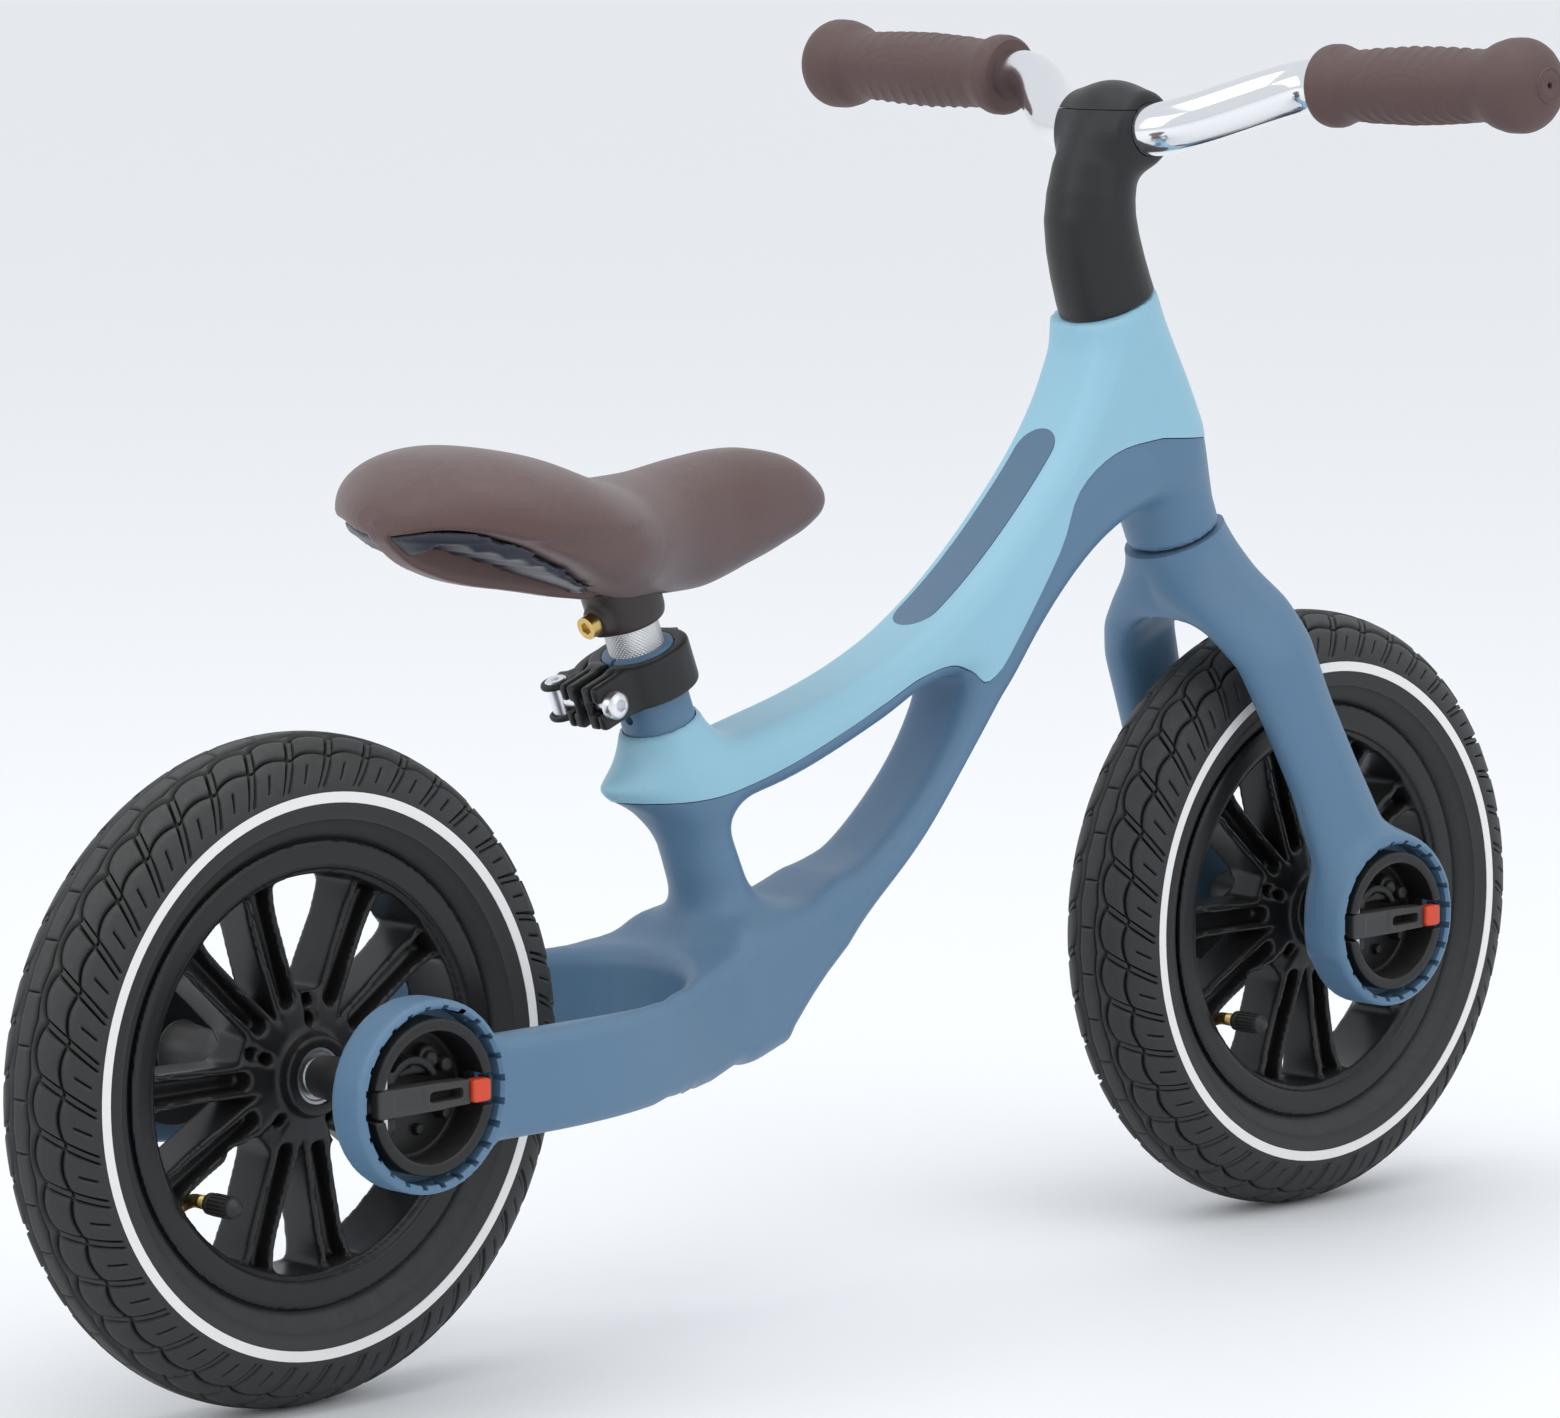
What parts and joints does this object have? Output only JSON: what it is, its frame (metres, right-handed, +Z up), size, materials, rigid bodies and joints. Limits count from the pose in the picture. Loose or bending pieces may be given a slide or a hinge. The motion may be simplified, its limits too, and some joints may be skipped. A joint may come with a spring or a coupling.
{
  "type": "balance bike",
  "caption": "Child's balance bike with a deep step-through frame, spoked air wheels, fold-out wheel locks, a sliding saddle and a turned handlebar.",
  "frame": {"origin": "on the ground, midway between the two axles, in the middle plane", "axes": "+X forward, +Y left, +Z up"},
  "size_m": [0.815, 0.4102, 0.5021],
  "materials": {
    "frame_blue": "satin, fine even grain",
    "cover_blue": "satin",
    "badge_blue": "satin",
    "black_plastic": "fine grain",
    "lock_grey": "fine grain",
    "tyre_rubber": "moulded tread",
    "tube_rubber": "soft",
    "band_white": "reflective band",
    "saddle_brown": "soft foam skin",
    "grip_brown": "moulded ribs",
    "base_navy": "satin",
    "socket_brown": "satin",
    "bright_steel": "machined",
    "chrome_bar": "polished",
    "knurled_steel": "knurled",
    "brass": "turned",
    "bush_grey": "low friction",
    "sleeve_alloy": "machined",
    "button_red": "moulded"
  },
  "bodies": {
    "frame": {"main_frame": "frame_blue", "top_tube_cover": "cover_blue", "top_tube_badge": "badge_blue", "head_sleeve": "sleeve_alloy", "headset_upper_bush": "bush_grey", "headset_lower_bush": "bush_grey", "seat_clamp_collar": "black_plastic", "clamp_bolt": "bright_steel", "clamp_barrel": "bright_steel", "rear_axle": "bright_steel", "rear_axle_sleeves": "black_plastic", "rear_hub_spacer": "sleeve_alloy", "rear_lock_cup_left": "lock_grey", "rear_lock_cup_right": "lock_grey", "rear_lock_pins": "bright_steel"},
    "front_end": {"fork": "frame_blue", "steerer": "bright_steel", "stem": "black_plastic", "stem_cap": "black_plastic", "stem_bolt": "bright_steel", "handlebar": "chrome_bar", "grip_left": "grip_brown", "grip_right": "grip_brown", "front_axle": "bright_steel", "front_axle_sleeves": "black_plastic", "front_hub_spacer": "sleeve_alloy", "front_lock_cup_left": "lock_grey", "front_lock_cup_right": "lock_grey", "front_lock_pins": "bright_steel"},
    "rear_wheel": {"rear_tyre": "tyre_rubber", "rear_tyre_bands": "band_white", "rear_inner_tube": "tube_rubber", "rear_rim": "black_plastic", "rear_bearings": "bright_steel", "rear_valve_stem": "brass", "rear_valve_cap": "black_plastic"},
    "front_wheel": {"front_tyre": "tyre_rubber", "front_tyre_bands": "band_white", "front_inner_tube": "tube_rubber", "front_rim": "black_plastic", "front_bearings": "bright_steel", "front_valve_stem": "brass", "front_valve_cap": "black_plastic"},
    "seat": {"seat_post": "knurled_steel", "saddle_cushion": "saddle_brown", "saddle_base": "base_navy", "saddle_socket": "socket_brown", "saddle_bolt": "brass"},
    "clamp_cam": {"clamp_lever": "black_plastic"},
    "rear_bar_left": {"rear_lock_bar_left": "lock_grey"},
    "rear_catch_left": {"rear_button_left": "button_red"},
    "rear_bar_right": {"rear_lock_bar_right": "lock_grey"},
    "rear_catch_right": {"rear_button_right": "button_red"},
    "front_bar_left": {"front_lock_bar_left": "lock_grey"},
    "front_catch_left": {"front_button_left": "button_red"},
    "front_bar_right": {"front_lock_bar_right": "lock_grey"},
    "front_catch_right": {"front_button_right": "button_red"}
  },
  "joints": [
    {"name": "steering", "type": "hinge", "parent": "frame", "child": "front_end", "pos_m": [0.20651, 0, 0.29205], "axis": [-0.3827, 0, 0.9239], "range_deg": [-45, 45]},
    {"name": "rear_wheel_spin", "type": "hinge", "parent": "frame", "child": "rear_wheel", "pos_m": [-0.2805, 0, 0.127], "axis": [0, 1, 0], "continuous": true},
    {"name": "front_wheel_spin", "type": "hinge", "parent": "front_end", "child": "front_wheel", "pos_m": [0.2805, 0, 0.127], "axis": [0, 1, 0], "continuous": true},
    {"name": "seat_height", "type": "slide", "parent": "frame", "child": "seat", "axis": [-0.3584, 0, 0.9336], "range_m": [-0.008, 0.055]},
    {"name": "seat_clamp", "type": "hinge", "parent": "frame", "child": "clamp_cam", "pos_m": [-0.12382, 0.018, 0.25108], "axis": [-0.3584, 0, 0.9336], "range_deg": [0, 150]},
    {"name": "rear_bar_left_fold", "type": "hinge", "parent": "frame", "child": "rear_bar_left", "pos_m": [-0.302, 0.0795, 0.127], "axis": [0, 0, 1], "range_deg": [0, 80]},
    {"name": "rear_button_left_press", "type": "slide", "parent": "rear_bar_left", "child": "rear_catch_left", "axis": [0, -1, 0], "range_m": [0, 0.0025], "stiffness_N_per_m": 600},
    {"name": "rear_bar_right_fold", "type": "hinge", "parent": "frame", "child": "rear_bar_right", "pos_m": [-0.302, -0.0795, 0.127], "axis": [0, 0, -1], "range_deg": [0, 80]},
    {"name": "rear_button_right_press", "type": "slide", "parent": "rear_bar_right", "child": "rear_catch_right", "axis": [0, 1, 0], "range_m": [0, 0.0025], "stiffness_N_per_m": 600},
    {"name": "front_bar_left_fold", "type": "hinge", "parent": "front_end", "child": "front_bar_left", "pos_m": [0.259, 0.056, 0.127], "axis": [0, 0, 1], "range_deg": [0, 80]},
    {"name": "front_button_left_press", "type": "slide", "parent": "front_bar_left", "child": "front_catch_left", "axis": [0, -1, 0], "range_m": [0, 0.0025], "stiffness_N_per_m": 600},
    {"name": "front_bar_right_fold", "type": "hinge", "parent": "front_end", "child": "front_bar_right", "pos_m": [0.259, -0.056, 0.127], "axis": [0, 0, -1], "range_deg": [0, 80]},
    {"name": "front_button_right_press", "type": "slide", "parent": "front_bar_right", "child": "front_catch_right", "axis": [0, 1, 0], "range_m": [0, 0.0025], "stiffness_N_per_m": 600}
  ]
}
